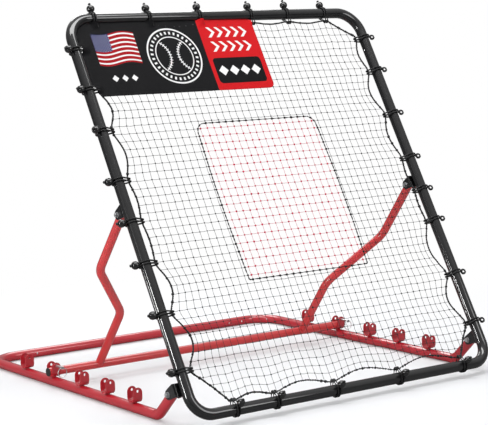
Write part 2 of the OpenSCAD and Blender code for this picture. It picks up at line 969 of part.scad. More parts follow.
module prop_arm(side) {
    color(arm_paint)
        in_place() on_side(side)
            difference() {
                translate([-arm_top_x, pivot_u[0], pivot_u[1]])
                    rotate([arm_turn, 0, 0])
                        translate([0, 0, -arm_tip])
                            bent_tube([
                                [arm_tip + arm_slant_at - jog_half, arm_slant, arm_bend_r],
                                [slant_l, -arm_slant, arm_bend_r],
                                [arm_l - arm_slant_at - jog_half, 0, 0]
                            ], prop_od, prop_wall);
                translate([-arm_top_x - prop_od, pivot_u[0], pivot_u[1]])
                    rotate([0, 90, 0])
                        cylinder(d = bolt_d + 2 * bolt_clear, h = 2 * prop_od);
                translate([-crossbar_l / 2, crossbar_y, crossbar_z])
                    rotate([0, 90, 0])
                        cylinder(d = prop_od + 2 * weld, h = crossbar_l);
            }
}

// --- Lock pins with pull rings, drawn back so that the crossbar is free ---
front_ear_y = crossbar_y - clip_outer / 2;
pin_tip_y = front_ear_y + clip_t - 0.5;
pin_head_y = front_ear_y - 0.5 - pin_travel;
ring_drop = (ring_d - sqrt(ring_d * ring_d - pin_head_d * pin_head_d)) / 2;

module lock_pin(side) {
    color(zinc)
        in_place()
            translate([side * base_x, 0, pin_z])
                difference() {
                    union() {
                        translate([0, pin_tip_y, 0])
                            rotate([90, 0, 0])
                                cylinder(d = pin_d, h = pin_tip_y - pin_head_y + 1);
                        translate([0, pin_head_y, 0])
                            rotate([90, 0, 0])
                                cylinder(d = pin_head_d, h = pin_head_l);
                    }
                    translate([-pin_head_d, pin_head_y - pin_head_l / 2, 0])
                        rotate([0, 90, 0])
                            cylinder(d = ring_hole_d, h = 2 * pin_head_d);
                }
}

module lock_ring(side) {
    color(zinc)
        in_place()
            translate([side * base_x, pin_head_y - pin_head_l / 2,
                       pin_z + ring_drop / 2 - ring_d / 2])
                rotate([90, 0, 0])
                    rotate_extrude($fn = 64)
                        translate([ring_d / 2, 0])
                            circle(d = ring_wire, $fn = 24);
}

base_back_bar();
base_side(-1);  // base_side_left
base_side(1);  // base_side_right
base_leg(-1);  // base_leg_left
base_leg(1);  // base_leg_right
base_sleeves();
base_snap_buttons();
for (n = [1:5]) {
    strap_end = n == clip_used ? clip_bend_z : clip_top + 1;
    clip(-1, n, to = strap_end);
    clip(1, n, to = strap_end);
}
clip_ears(-1);  // clip_ears_left
clip_ears(1);  // clip_ears_right
frame_top_bend();
frame_side(-1);  // frame_side_left
frame_side(1);  // frame_side_right
frame_bottom_bend();
frame_snap_buttons();
bracket(-1, base_x, pivot_low, pivot_low_back, base_od);  // bracket_lower_left
bracket(1, base_x, pivot_low, pivot_low_back, base_od);  // bracket_lower_right
bracket(-1, arm_top_x, pivot_high, pivot_high_back, prop_od);  // bracket_upper_left
bracket(1, arm_top_x, pivot_high, pivot_high_back, prop_od);  // bracket_upper_right
color(zinc) pivot_bolts(base_x, pivot_low, pivot_low_back, base_od);  // pivot_bolts_lower
color(zinc) pivot_nuts(base_x, pivot_low, pivot_low_back, base_od);  // pivot_nuts_lower
color(zinc) pivot_bolts(arm_top_x, pivot_high, pivot_high_back, prop_od);  // pivot_bolts_upper
color(zinc) pivot_nuts(arm_top_x, pivot_high, pivot_high_back, prop_od);  // pivot_nuts_upper
net();
net_edge_rope();
target_net();
target_cord();
banner();
color(cord_black) at_top_ties() ball(tie_in_end, 0);  // bungee_balls_top
color(cord_black) at_bottom_ties() ball(tie_in_end, -front_ball_angle);  // bungee_balls_bottom
color(cord_black) at_left_ties() ball(tie_in_side, 0);  // bungee_balls_left
color(cord_black) at_right_ties() ball(tie_in_side, 90);  // bungee_balls_right
color(cord_black) at_top_ties() cord_loop(tie_in_end, 0);  // bungee_cords_top
color(cord_black) at_bottom_ties() cord_loop(tie_in_end, -front_ball_angle);  // bungee_cords_bottom
color(cord_black) at_left_ties() cord_loop(tie_in_side, 0);  // bungee_cords_left
color(cord_black) at_right_ties() cord_loop(tie_in_side, 90, spare_eye_r);  // bungee_cords_right
prop_crossbar();
prop_arm(-1);  // prop_arm_left
prop_arm(1);  // prop_arm_right
crossbar_plugs();
lock_pin(-1);  // lock_pin_left
lock_pin(1);  // lock_pin_right
lock_ring(-1);  // lock_ring_left
lock_ring(1);  // lock_ring_right
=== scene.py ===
from math import asin, ceil, cos, degrees, hypot, pi, radians, sin, sqrt
from random import Random

import bpy
from mathutils import Matrix, Vector


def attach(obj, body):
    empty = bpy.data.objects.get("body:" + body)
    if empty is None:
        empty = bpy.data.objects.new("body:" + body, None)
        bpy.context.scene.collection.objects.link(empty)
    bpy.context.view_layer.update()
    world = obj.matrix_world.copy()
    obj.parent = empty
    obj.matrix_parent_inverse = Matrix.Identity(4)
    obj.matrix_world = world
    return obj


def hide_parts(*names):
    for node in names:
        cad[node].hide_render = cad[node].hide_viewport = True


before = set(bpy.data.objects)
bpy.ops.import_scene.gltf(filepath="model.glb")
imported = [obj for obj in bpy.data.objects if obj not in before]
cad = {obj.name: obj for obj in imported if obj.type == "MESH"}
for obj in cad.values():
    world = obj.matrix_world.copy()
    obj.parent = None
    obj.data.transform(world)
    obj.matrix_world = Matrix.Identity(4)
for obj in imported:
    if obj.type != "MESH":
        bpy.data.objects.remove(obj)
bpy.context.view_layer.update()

# ---------------------------------------------------------------------------
# Camera. A long lens from the front left, a little above the top of the frame,
# with a small roll to the right.
camera_azimuth, camera_elevation, camera_roll = radians(-36.10), radians(6.71), radians(-1.33)
camera_place = Vector((-3.23611, -4.51268, 1.19511))


def in_scene(name, data):
    """A new object for a mesh, a lamp or a camera, linked into the scene."""
    made = bpy.data.objects.new(name, data)
    bpy.context.scene.collection.objects.link(made)
    return made


view_back = Vector((
    sin(camera_azimuth) * cos(camera_elevation),
    -cos(camera_azimuth) * cos(camera_elevation),
    sin(camera_elevation),
))
view_level = Vector((cos(camera_azimuth), sin(camera_azimuth), 0))
view_upright = view_back.cross(view_level)
view_right = view_level * cos(camera_roll) + view_upright * sin(camera_roll)
view_up = view_upright * cos(camera_roll) - view_level * sin(camera_roll)
camera_turn = Matrix((view_right, view_up, view_back)).transposed().to_4x4()
camera_data = bpy.data.cameras.new("camera")
camera_data.sensor_width = 36.0
camera_data.lens = 122.14
camera_data.shift_x = 0.0007
camera_data.shift_y = -0.0035
camera_data.clip_end = 60
camera = in_scene("camera", camera_data)
camera.matrix_world = Matrix.Translation(camera_place) @ camera_turn
bpy.context.scene.camera = camera

# ---------------------------------------------------------------------------
# Studio. A white floor and white surroundings, broad lamps overhead, behind and in
# front, and two strips on the left for the streaks along the lower tubes. The
# floor pales to pure white away from the object, and keeps its shadow.
pure_white = (1, 1, 1, 1)
floor_reach, floor_drop = 9.0, 0.0005
# Seen in reflections, the floor is painted a darker grey: a painted dark reflection on the glossy parts.
floor_pale, floor_painted_reflection_grey = (0.79, 0.80, 0.82), (0.20, 0.20, 0.20)
shadow_reach, white_from = 0.9, 2.0
bpy.context.scene.view_settings.view_transform = "Standard"


def new_material(name):
    """An empty material and its tree."""
    material = bpy.data.materials.new(name)
    material.use_nodes = True
    material.node_tree.nodes.clear()
    return material, material.node_tree


def node(tree, kind, inputs=None, **settings):
    """A node in a tree. Inputs are values or the outputs of other nodes."""
    made = tree.nodes.new(kind)
    for key, value in settings.items():
        setattr(made, key, value)
    for key, value in (inputs or {}).items():
        if isinstance(value, bpy.types.Node):
            value = value.outputs[0]
        if isinstance(value, bpy.types.NodeSocket):
            tree.links.new(value, made.inputs[key])
        else:
            made.inputs[key].default_value = value
    return made


def maths(tree, operation, *values, clamp=False):
    """The result of a Math node."""
    return node(tree, "ShaderNodeMath", dict(enumerate(values)), operation=operation,
                use_clamp=clamp).outputs[0]


def blend(tree, share, one, other):
    """A colour between two, each an RGB value or another node's output."""
    one, other = [c if isinstance(c, bpy.types.NodeSocket) else (*c, 1) for c in (one, other)]
    return node(tree, "ShaderNodeMix", {0: share, 6: one, 7: other}, data_type="RGBA").outputs[2]


def mesh_piece(name, points, edges=(), faces=()):
    """A new object with a mesh of these points, edges and faces."""
    mesh = bpy.data.meshes.new(name)
    mesh.from_pydata(points, edges, faces)
    return in_scene(name, mesh)


def seen_directly(tree):
    """1 for a ray that comes straight from the camera, or through glass."""
    path = node(tree, "ShaderNodeLightPath")
    return maths(tree, "MAXIMUM", path.outputs["Is Camera Ray"], path.outputs["Is Transmission Ray"])


world = bpy.data.worlds.new("studio")
bpy.context.scene.world = world
world.use_nodes = True
studio = world.node_tree
studio.nodes.clear()
sky_place = node(studio, "ShaderNodeTexCoord").outputs["Generated"]
sky_height = node(studio, "ShaderNodeSeparateXYZ", {0: sky_place})
sky_light = node(studio, "ShaderNodeMapRange", {
    "Value": sky_height.outputs["Z"], "From Min": -0.1, "From Max": 0.9, "To Min": 0.07, "To Max": 0.56})
light_level = node(studio, "ShaderNodeBackground", {"Color": pure_white, "Strength": sky_light})
white_level = node(studio, "ShaderNodeBackground", {"Color": pure_white, "Strength": 1.0})
sky_mix = node(studio, "ShaderNodeMixShader", {0: seen_directly(studio), 1: light_level, 2: white_level})
node(studio, "ShaderNodeOutputWorld", {"Surface": sky_mix})

floor = mesh_piece("floor", [(x * floor_reach, y * floor_reach, 0)
                             for x, y in ((-1, -1), (1, -1), (1, 1), (-1, 1))], faces=[(0, 1, 2, 3)])
floor.location.z = -floor_drop
floor_white, floor_tree = new_material("floor_white")
# Where the floor is seen in a reflection it takes the painted grey, a painted dark reflection; seen directly
# it stays pale.
floor_mirrored = node(floor_tree, "ShaderNodeLightPath").outputs["Is Glossy Ray"]
floor_tone = blend(floor_tree, floor_mirrored, floor_pale, floor_painted_reflection_grey)
floor_body = node(floor_tree, "ShaderNodeBsdfDiffuse", {"Color": floor_tone})
floor_glow = node(floor_tree, "ShaderNodeEmission", {"Color": pure_white, "Strength": 1.0})
floor_place = node(floor_tree, "ShaderNodeTexCoord").outputs["Object"]
floor_distance = node(floor_tree, "ShaderNodeVectorMath", {0: floor_place}, operation="LENGTH")
floor_white_out = node(floor_tree, "ShaderNodeMapRange", {
    "Value": floor_distance.outputs["Value"], "From Min": shadow_reach, "From Max": white_from,
    "To Min": 0.20, "To Max": 1.0})
floor_share = maths(floor_tree, "MULTIPLY", seen_directly(floor_tree), floor_white_out)
floor_mix = node(floor_tree, "ShaderNodeMixShader", {0: floor_share, 1: floor_body, 2: floor_glow})
node(floor_tree, "ShaderNodeOutputMaterial", {"Surface": floor_mix})
floor.data.materials.append(floor_white)


def softbox(name, place, aim, width, height, watts):
    """A rectangular lamp that looks at a point."""
    data = bpy.data.lights.new(name, "AREA")
    data.shape = "RECTANGLE"
    data.size, data.size_y, data.energy = width, height, watts
    lamp = in_scene(name, data)
    lamp.location = place
    lamp.rotation_euler = (Vector(aim) - Vector(place)).to_track_quat("-Z", "Y").to_euler()


left_rail = (-0.6, -0.4, 0.4)
softbox("overhead", (-0.3, -0.8, 4.0), (0, 0, 0), width=4.0, height=1.2, watts=104)
softbox("back_top", (0.9, 2.4, 3.0), (0, 0, 0), width=2.6, height=1.6, watts=60)
softbox("left_strip", (-3.6, -0.6, 0.92), left_rail, width=0.20, height=1.26, watts=40)
softbox("left_edge_strip", (-3.0, 1.4, 0.2), left_rail, width=0.20, height=0.34, watts=7)
softbox("front_fill", (1.6, -4.2, 2.4), (0, 0, 0.6), width=2.2, height=1.8, watts=42)

# ---------------------------------------------------------------------------
# Net frame. Four steel tubes of 35 mm, two bent and two straight, pushed into
# one another and held by snap buttons, with four hinge brackets. Gloss black
# powder coat.


def shader_group(name, inputs, outputs):
    """A shader node group with number inputs, as [name, value], and outputs, as [name, kind]."""
    group = bpy.data.node_groups.new(name, "ShaderNodeTree")
    for title, value in inputs:
        socket = group.interface.new_socket(title, in_out="INPUT", socket_type="NodeSocketFloat")
        socket.default_value = value
    for title, kind in outputs:
        group.interface.new_socket(title, in_out="OUTPUT", socket_type=kind)
    return group, node(group, "NodeGroupInput"), node(group, "NodeGroupOutput")


def surfaced(tree, inputs):
    """Ends a material's tree in one Principled surface."""
    surface = node(tree, "ShaderNodeBsdfPrincipled", inputs)
    node(tree, "ShaderNodeOutputMaterial", {"Surface": surface})


# Powder coat: a fine orange peel, faint cloudy gloss and a few hairline scuffs.
scuff_dulls = 0.25
powder_coat, coat_in, coat_out = shader_group(
    "powder_coat",
    [("Peel per metre", 900.0), ("Dullness", 0.2), ("Dullness change", 0.06), ("Scuffs", 0.3)],
    [("Roughness", "NodeSocketFloat"), ("Height", "NodeSocketFloat"), ("Cloud", "NodeSocketFloat")])
coat_place = node(powder_coat, "ShaderNodeTexCoord").outputs["Object"]
coat_peel = node(powder_coat, "ShaderNodeTexNoise", {
    "Vector": coat_place, "Scale": coat_in.outputs["Peel per metre"], "Detail": 1.5, "Roughness": 0.4})
coat_cloud = node(powder_coat, "ShaderNodeTexNoise", {"Vector": coat_place, "Scale": 14.0, "Detail": 3.0})
coat_long = node(powder_coat, "ShaderNodeMapping", {"Vector": coat_place, "Scale": (60.0, 9.0, 9.0)})
coat_lines = node(powder_coat, "ShaderNodeTexNoise", {
    "Vector": coat_long, "Scale": 22.0, "Detail": 5.0, "Roughness": 0.7})
coat_hairs = node(powder_coat, "ShaderNodeMapRange", {
    "Value": coat_lines, "From Min": 0.66, "From Max": 0.74, "To Min": 0.0, "To Max": 1.0})
coat_scuffs = maths(powder_coat, "MULTIPLY", coat_hairs, coat_in.outputs["Scuffs"])
coat_swing = maths(powder_coat, "MULTIPLY", coat_cloud, coat_in.outputs["Dullness change"])
coat_rough = maths(powder_coat, "ADD", coat_swing, coat_in.outputs["Dullness"])
coat_worn = maths(powder_coat, "MULTIPLY_ADD", coat_scuffs, scuff_dulls, coat_rough)
powder_coat.links.new(coat_worn, coat_out.inputs["Roughness"])
powder_coat.links.new(coat_peel.outputs[0], coat_out.inputs["Height"])
powder_coat.links.new(coat_cloud.outputs[0], coat_out.inputs["Cloud"])


def coated(name, dark, light, dullness, peel=0.000015, scuffs=0.25, coat=0.0, coat_ior=1.5, shine=0.5):
    """A powder-coated metal between two close colours, under a clear coat if it has one."""
    material, tree = new_material(name)
    group = node(tree, "ShaderNodeGroup", node_tree=powder_coat)
    group.inputs["Dullness"].default_value = dullness
    group.inputs["Scuffs"].default_value = scuffs
    bump = node(tree, "ShaderNodeBump", {"Height": group.outputs["Height"], "Distance": peel,
                                         "Strength": 1.0})
    surfaced(tree, {
        "Base Color": blend(tree, group.outputs["Cloud"], dark, light),
        "Roughness": group.outputs["Roughness"], "Normal": bump, "Specular IOR Level": shine,
        "Coat Weight": coat, "Coat Roughness": 0.065, "Coat IOR": coat_ior})
    return material


def dress(material, *names):
    """Gives the frame's own nodes a material."""
    for name in names:
        mesh = cad[name].data
        mesh.materials.clear()
        mesh.materials.append(material)


frame_black = coated("frame_black", (0.003, 0.003, 0.0035), (0.007, 0.007, 0.008), 0.30, coat=0.85,
                     coat_ior=1.75, shine=0.2)
dress(frame_black, "frame_top_bend", "frame_side_left", "frame_side_right", "frame_bottom_bend",
      "bracket_lower_left", "bracket_lower_right", "bracket_upper_left", "bracket_upper_right")

# ---------------------------------------------------------------------------
# Base. Steel tubes of 32 mm: a back bar, two rails with round corners and two
# front legs that rise to the lower pivots. Gloss red powder coat.
base_red = coated("base_red", (0.43, 0.009, 0.020), (0.51, 0.017, 0.030), 0.28, peel=0.000008, coat=0.9,
                  coat_ior=1.7)
dress(base_red, "base_back_bar", "base_side_left", "base_side_right", "base_leg_left", "base_leg_right")

# ---------------------------------------------------------------------------
# Clips. Ten steel straps bent into a U and welded on the rails. The crossbar
# drops into a pair, and a pin goes through both ears. The ears of the pair in
# use are nodes of their own.
dress(base_red, "clip_ears_left", "clip_ears_right",
      *[f"clip_{side}_{n}" for side in ("left", "right") for n in range(1, 6)])

# ---------------------------------------------------------------------------
# Prop. A crossbar of 28 mm tube with two arms that step inwards, welded to it,
# in a lighter orange-red powder coat, with black plastic plugs in its ends.
prop_red = coated("prop_red", (0.57, 0.026, 0.030), (0.66, 0.044, 0.044), 0.28, peel=0.000008, coat=0.8,
                  coat_ior=1.7)
dress(prop_red, "prop_crossbar", "prop_arm_left", "prop_arm_right")
plug_black = coated("plug_black", (0.012, 0.012, 0.012), (0.024, 0.024, 0.024), 0.45, peel=0.00008)
dress(plug_black, "crossbar_plugs")

# ---------------------------------------------------------------------------
# Pivot bolts, nuts, snap buttons, inner sleeves, lock pins and pull rings. All
# are bright zinc-plated steel, turned or stamped, with fine turning marks.
zinc_bright, zinc_tree = new_material("zinc_bright")
zinc_place = node(zinc_tree, "ShaderNodeTexCoord").outputs["Object"]
zinc_marks = node(zinc_tree, "ShaderNodeMapping", {"Vector": zinc_place, "Scale": (900.0, 60.0, 60.0)})
zinc_grain = node(zinc_tree, "ShaderNodeTexNoise", {"Vector": zinc_marks, "Scale": 1.0, "Detail": 3.0})
zinc_cloud = node(zinc_tree, "ShaderNodeTexNoise", {"Vector": zinc_place, "Scale": 120.0, "Detail": 2.0})
zinc_rough = node(zinc_tree, "ShaderNodeMapRange", {"Value": zinc_cloud, "To Min": 0.24, "To Max": 0.42})
zinc_bump = node(zinc_tree, "ShaderNodeBump", {"Height": zinc_grain, "Distance": 0.00003, "Strength": 0.8})
surfaced(zinc_tree, {
    "Base Color": blend(zinc_tree, zinc_cloud, (0.70, 0.71, 0.73), (0.88, 0.89, 0.90)),
    "Metallic": 1.0, "Roughness": zinc_rough, "Normal": zinc_bump})
dress(zinc_bright, "pivot_bolts_lower", "pivot_nuts_lower", "pivot_bolts_upper", "pivot_nuts_upper",
      "base_sleeves", "base_snap_buttons", "frame_snap_buttons", "lock_pin_left", "lock_pin_right",
      "lock_ring_left", "lock_ring_right")

# ---------------------------------------------------------------------------
# Edge rope. A laid black rope of three strands, nearly 7 mm thick, that borders
# the net. The bungees pull it out to each tie, and it draws in between two ties.
lean = radians(30)
frame_middle = Vector((-0.0066, 0.6158, 0.0))
bottom_tube_z = 0.039
left_ties = [143, 325, 490, 629, 767, 938, 1082, 1223]
right_ties = [142, 320, 520, 637, 760, 931, 1102, 1233]
top_ties = [-494, -284, -84, 128, 283, 447]
bottom_ties = [-448, -296, -65, 196, 470]
tie_u, tie_top, tie_bottom = 555.0, 1308.0, 29.0
side_sags = [0.21, 0.17, 0.04, 0.06, 0.125, 0.17, 0.12]
top_sags, bottom_sags, corner_sags = [0.05] * 5, [0.09] * 4, [0.02]
sag_roundness = 1.15


def on_frame(u, w, v=0.0):
    """A point u across, w up the frame and v behind its centre plane, in mm from the bottom tube."""
    u, w, v = u / 1000, w / 1000, v / 1000
    return Vector((u, w * sin(lean) + v * cos(lean),
                   bottom_tube_z + w * cos(lean) - v * sin(lean))) - frame_middle


def rope_line(steps, straight):
    """The rope's way round the net, clockwise from the lowest left tie, straight for a bit at each tie."""
    ties = [((-tie_u, w), (0, 1)) for w in left_ties] + [((u, tie_top), (1, 0)) for u in top_ties]
    ties += [((tie_u, w), (0, -1)) for w in reversed(right_ties)]
    ties += [((u, tie_bottom), (-1, 0)) for u in reversed(bottom_ties)]
    sags = side_sags + corner_sags + top_sags + corner_sags
    sags += side_sags[::-1] + corner_sags + bottom_sags + corner_sags
    line = []
    for (here, run), (there, next_run), sag in zip(ties, ties[1:] + ties[:1], sags):
        a = (here[0] + straight * run[0], here[1] + straight * run[1])
        b = (there[0] - straight * next_run[0], there[1] - straight * next_run[1])
        way = (there[0] - here[0], there[1] - here[1])
        for k in range(steps + 1):
            t = k / steps
            inward = sag * sin(pi * t) ** sag_roundness
            line.append((a[0] + (b[0] - a[0]) * t + way[1] * inward,
                         a[1] + (b[1] - a[1]) * t - way[0] * inward))
    return line


def closed_wires(name, routes):
    """A piece of bare edges along some closed routes."""
    points, edges = [], []
    for route in routes:
        first = len(points)
        points += [tuple(p) for p in route]
        edges += [(first + i, first + i + 1) for i in range(len(route) - 1)]
        edges.append((len(points) - 1, first))
    return mesh_piece(name, points, edges)


def shape_tree(name, inputs):
    """A geometry tree with a Geometry input and output and some named inputs, as [name, kind, value]."""
    tree = bpy.data.node_groups.new(name, "GeometryNodeTree")
    tree.interface.new_socket("Geometry", in_out="INPUT", socket_type="NodeSocketGeometry")
    tree.interface.new_socket("Geometry", in_out="OUTPUT", socket_type="NodeSocketGeometry")
    for title, kind, value in inputs:
        socket = tree.interface.new_socket(title, in_out="INPUT", socket_type=kind)
        if value is not None:
            socket.default_value = value
    return tree, node(tree, "NodeGroupInput"), node(tree, "NodeGroupOutput")


def end_tree(tree, group_in, group_out, geometry):
    """Ends a geometry tree: smooth faces, made real, in its finish."""
    smooth = node(tree, "GeometryNodeSetShadeSmooth", {0: geometry})
    real = node(tree, "GeometryNodeRealizeInstances", {0: smooth})
    done = node(tree, "GeometryNodeSetMaterial", {0: real, "Material": group_in.outputs["Finish"]})
    tree.links.new(done.outputs[0], group_out.inputs[0])


def settle(piece, tree, **values):
    """Runs a tree on a piece and keeps the result as its plain mesh."""
    modifier = piece.modifiers.new(tree.name, "NODES")
    modifier.node_group = tree
    for item in tree.interface.items_tree:
        title = item.name.replace(" ", "_").lower()
        if item.in_out == "INPUT" and title in values:
            modifier[item.identifier] = values[title]
    bpy.context.view_layer.update()
    graph = bpy.context.evaluated_depsgraph_get()
    mesh = bpy.data.meshes.new_from_object(piece.evaluated_get(graph), depsgraph=graph)
    piece.modifiers.clear()
    old = piece.data
    piece.data = mesh
    bpy.data.meshes.remove(old)
    mesh.name = piece.name


# A laid rope or a plain cord: a profile of strands that turns along the way.
rope_tree, rope_in, rope_out = shape_tree("rope", [
    ("Radius", "NodeSocketFloat", 0.003), ("Strands", "NodeSocketInt", 3),
    ("Groove", "NodeSocketFloat", 0.72), ("Turns per metre", "NodeSocketFloat", 60.0),
    ("Finish", "NodeSocketMaterial", None)])
rope_curve = node(rope_tree, "GeometryNodeMeshToCurve", {0: rope_in.outputs["Geometry"]})
rope_place = node(rope_tree, "GeometryNodeSplineParameter")
rope_turn = maths(rope_tree, "MULTIPLY", rope_place.outputs["Length"], rope_in.outputs["Turns per metre"])
rope_angle = maths(rope_tree, "MULTIPLY", rope_turn, 2 * pi)
rope_twisted = node(rope_tree, "GeometryNodeSetCurveTilt", {0: rope_curve, "Tilt": rope_angle})
rope_valley = maths(rope_tree, "MULTIPLY", rope_in.outputs["Radius"], rope_in.outputs["Groove"])
rope_profile = node(rope_tree, "GeometryNodeCurveStar", {
    "Points": rope_in.outputs["Strands"], "Inner Radius": rope_valley,
    "Outer Radius": rope_in.outputs["Radius"]})
rope_mesh = node(rope_tree, "GeometryNodeCurveToMesh", {
    "Curve": rope_twisted, "Profile Curve": rope_profile.outputs[0], "Fill Caps": True})
end_tree(rope_tree, rope_in, rope_out, rope_mesh)

# Spun cord: fine fibres, and an uneven, faded colour.
fibres, fibres_in, fibres_out = shader_group(
    "fibres", [("Fibres per metre", 2600.0), ("Fade per metre", 35.0)],
    [("Fade", "NodeSocketFloat"), ("Height", "NodeSocketFloat")])
fibres_place = node(fibres, "ShaderNodeTexCoord").outputs["Object"]
fibres_fine = node(fibres, "ShaderNodeTexNoise", {
    "Vector": fibres_place, "Scale": fibres_in.outputs["Fibres per metre"], "Detail": 2.0})
fibres_fade = node(fibres, "ShaderNodeTexNoise", {
    "Vector": fibres_place, "Scale": fibres_in.outputs["Fade per metre"], "Detail": 4.0})
fibres.links.new(fibres_fade.outputs[0], fibres_out.inputs["Fade"])
fibres.links.new(fibres_fine.outputs[0], fibres_out.inputs["Height"])


def twine(name, dark, light, sheen, rough=0.85):
    """Spun polyester in two close shades."""
    material, tree = new_material(name)
    group = node(tree, "ShaderNodeGroup", node_tree=fibres)
    bump = node(tree, "ShaderNodeBump", {"Height": group.outputs["Height"], "Distance": 0.0002,
                                         "Strength": 0.7})
    surfaced(tree, {
        "Base Color": blend(tree, group.outputs["Fade"], dark, light), "Roughness": rough,
        "Normal": bump, "Sheen Weight": sheen, "Sheen Roughness": 0.5})
    return material


rope_black = twine("rope_black", (0.004, 0.004, 0.0045), (0.013, 0.013, 0.014), sheen=0.1)
edge_route = rope_line(steps=24, straight=9.0)
edge_rope = closed_wires("edge_rope", [[on_frame(u, w) for u, w in edge_route]])
settle(edge_rope, rope_tree, radius=0.0034, strands=3, groove=0.70, turns_per_metre=48.0,
       finish=rope_black)
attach(edge_rope, "front_frame")
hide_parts("net_edge_rope")

# ---------------------------------------------------------------------------
# Net. Black knotted twine in squares of 27 mm, drawn towards the ties along its
# edges and hitched to the rope. The target zone is a net of red twine, hitched
# with the black one to a thin black cord that runs round it.
mesh_size = 27.0
half_u, low_w, high_w = 548.0, 33.0, 1303.0
edge_reach = 70.0
knot_sway, knot_depth = 0.5, 0.4
slack_u, slack_w, slack_v = (-0.9, 0.9), (-1.2, 0.3), (-0.4, 0.9)
target_u, target_low, target_high = 240.0, 396.0, 943.0
target_top_round, target_low_round, target_bow = 32.0, 4.0, 7.0
hitch_sizes = {"rope": 1.0, "cord": 0.85}
rng = Random(41)


def inside(point, ring):
    """Is a flat point inside a closed ring?"""
    u, w = point
    found = False
    for (u1, w1), (u2, w2) in zip(ring, ring[1:] + ring[:1]):
        if (w1 > w) != (w2 > w) and u < (u2 - u1) * (w - w1) / (w2 - w1) + u1:
            found = not found
    return found


def crossing(a, b, ring):
    """Where the line from a, inside, to b, outside, leaves the ring."""
    low, high = 0.0, 1.0
    for _ in range(12):
        t = (low + high) / 2
        if inside((a[0] + (b[0] - a[0]) * t, a[1] + (b[1] - a[1]) * t), ring):
            low = t
        else:
            high = t
    return a[0] + (b[0] - a[0]) * low, a[1] + (b[1] - a[1]) * low


def rope_at(position, along, side):
    """The rope's u at a height w, or its w at a place u across: the outermost on one side, -1 or 1."""
    best = None
    for (a, b) in zip(edge_route, edge_route[1:] + edge_route[:1]):
        p, q = (a[1], b[1]) if along == "w" else (a[0], b[0])
        if min(p, q) <= position <= max(p, q) and p != q:
            t = (position - p) / (q - p)
            value = (a[0] + (b[0] - a[0]) * t) if along == "w" else (a[1] + (b[1] - a[1]) * t)
            if best is None or value * side > best * side:
                best = value
    return best


def fading(x):
    """A pull or a bulge that dies away: 1 at 0, about a third at 1."""
    return 2.718 ** -x


columns = round(2 * half_u / mesh_size)
rows = round((high_w - low_w) / mesh_size)
grid = {}
for j in range(rows + 1):
    w0 = low_w + (high_w - low_w) * j / rows
    rope_left, rope_right = rope_at(w0, "w", -1), rope_at(w0, "w", 1)
    for i in range(columns + 1):
        u0 = -half_u + 2 * half_u * i / columns
        rope_low, rope_high = rope_at(u0, "u", -1), rope_at(u0, "u", 1)
        du = dw = 0.0
        if left_ties[0] < w0 < left_ties[-1]:
            du += (rope_left + half_u) * fading((u0 + half_u) / edge_reach)
        if right_ties[0] < w0 < right_ties[-1]:
            du += (rope_right - half_u) * fading((half_u - u0) / edge_reach)
        if bottom_ties[0] < u0 < top_ties[-1]:
            dw += (rope_low - low_w) * fading((w0 - low_w) / edge_reach)
            dw += (rope_high - high_w) * fading((high_w - w0) / edge_reach)
        grid[i, j] = (u0 + du + rng.uniform(-knot_sway, knot_sway),
                      w0 + dw + rng.uniform(-knot_sway, knot_sway))


def round_box(u1, u2, w1, w2, top_r, low_r, steps=6):
    """A rectangle's ring, with one radius at its top corners and another at its lower ones."""
    ring = []
    for u, w, in_u, in_w, r, start in ((u2, w2, -1, -1, top_r, 0), (u1, w2, 1, -1, top_r, 90),
                                       (u1, w1, 1, 1, low_r, 180), (u2, w1, -1, 1, low_r, 270)):
        for k in range(steps + 1):
            angle = radians(start + 90 * k / steps)
            ring.append((u + in_u * r + r * cos(angle), w + in_w * r + r * sin(angle)))
    return ring


def bowed(ring):
    """The target's ring in steps of about one square, with its sides bowed out halfway up."""
    line = []
    for (u1, w1), (u2, w2) in zip(ring, ring[1:] + ring[:1]):
        steps = max(1, round(hypot(u2 - u1, w2 - w1) / mesh_size))
        for k in range(steps):
            u, w = u1 + (u2 - u1) * k / steps, w1 + (w2 - w1) * k / steps
            bulge = sin(pi * (w - target_low) / (target_high - target_low))
            line.append((u * (1 + target_bow / target_u * bulge), w))
    return line


target_ring = bowed(round_box(-target_u, target_u, target_low, target_high,
                              target_top_round, target_low_round))
# Each net's points, edges, hitches at its points, and the numbers of its named points.
nets = {"net_twine": ([], [], [], {}), "target_twine": ([], [], [], {})}


def net_point(piece, key, u, w):
    """The number of a knot or of a strand's end in a net. Ends are hitched to the rope or the cord."""
    points, _, hitches, numbers = nets[piece]
    if key not in numbers:
        numbers[key] = len(points)
        points.append(on_frame(u, w, rng.uniform(-knot_depth, knot_depth)))
        hitches.append(hitch_sizes.get(key[-1], 0.0))
    return numbers[key]


def net_strand(red, start_key, start, end_key, end):
    """A strand of red or black twine between two points, a little slack halfway."""
    piece = "target_twine" if red else "net_twine"
    points, edges, hitches, _ = nets[piece]
    first, last = net_point(piece, start_key, *start), net_point(piece, end_key, *end)
    points.append(on_frame((start[0] + end[0]) / 2 + rng.uniform(*slack_u),
                           (start[1] + end[1]) / 2 + rng.uniform(*slack_w), rng.uniform(*slack_v)))
    hitches.append(0.0)
    edges += [(first, len(points) - 1), (len(points) - 1, last)]


